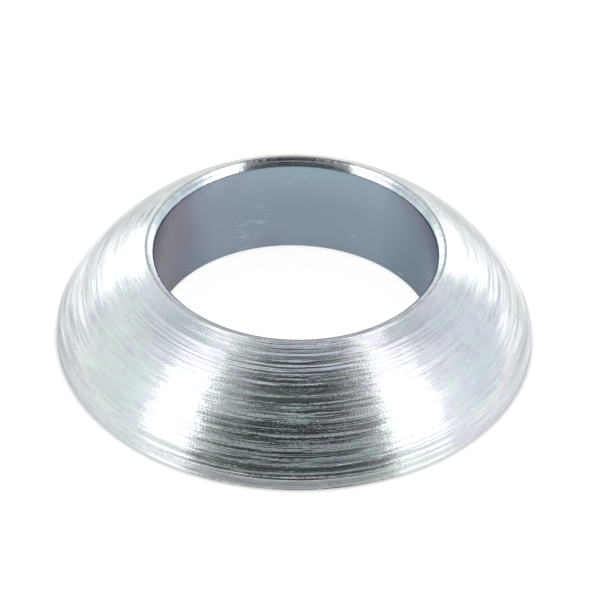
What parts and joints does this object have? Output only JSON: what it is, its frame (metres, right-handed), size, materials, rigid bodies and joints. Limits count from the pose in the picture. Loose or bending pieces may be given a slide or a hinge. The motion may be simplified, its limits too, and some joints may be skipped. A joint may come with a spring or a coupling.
{
  "type": "spherical seat washer",
  "caption": "Thick solid steel ring with a flat base, a convex conical flank and a plain bore with a rounded mouth, which centres a nut in a conical recess.",
  "frame": {"origin": "centre of the flat base, on the axis of the bore", "axes": "+Z along the bore, from the wide base to the narrow end; the ring is the same all round, so X and Y are free"},
  "size_m": [0.0324, 0.0324, 0.0074],
  "materials": {
    "zinc_plated_steel": "turned all over and bright zinc plated, with fine uneven tool lines round the flank"
  },
  "bodies": {
    "root": {"seat_washer": "zinc_plated_steel"}
  },
  "joints": []
}
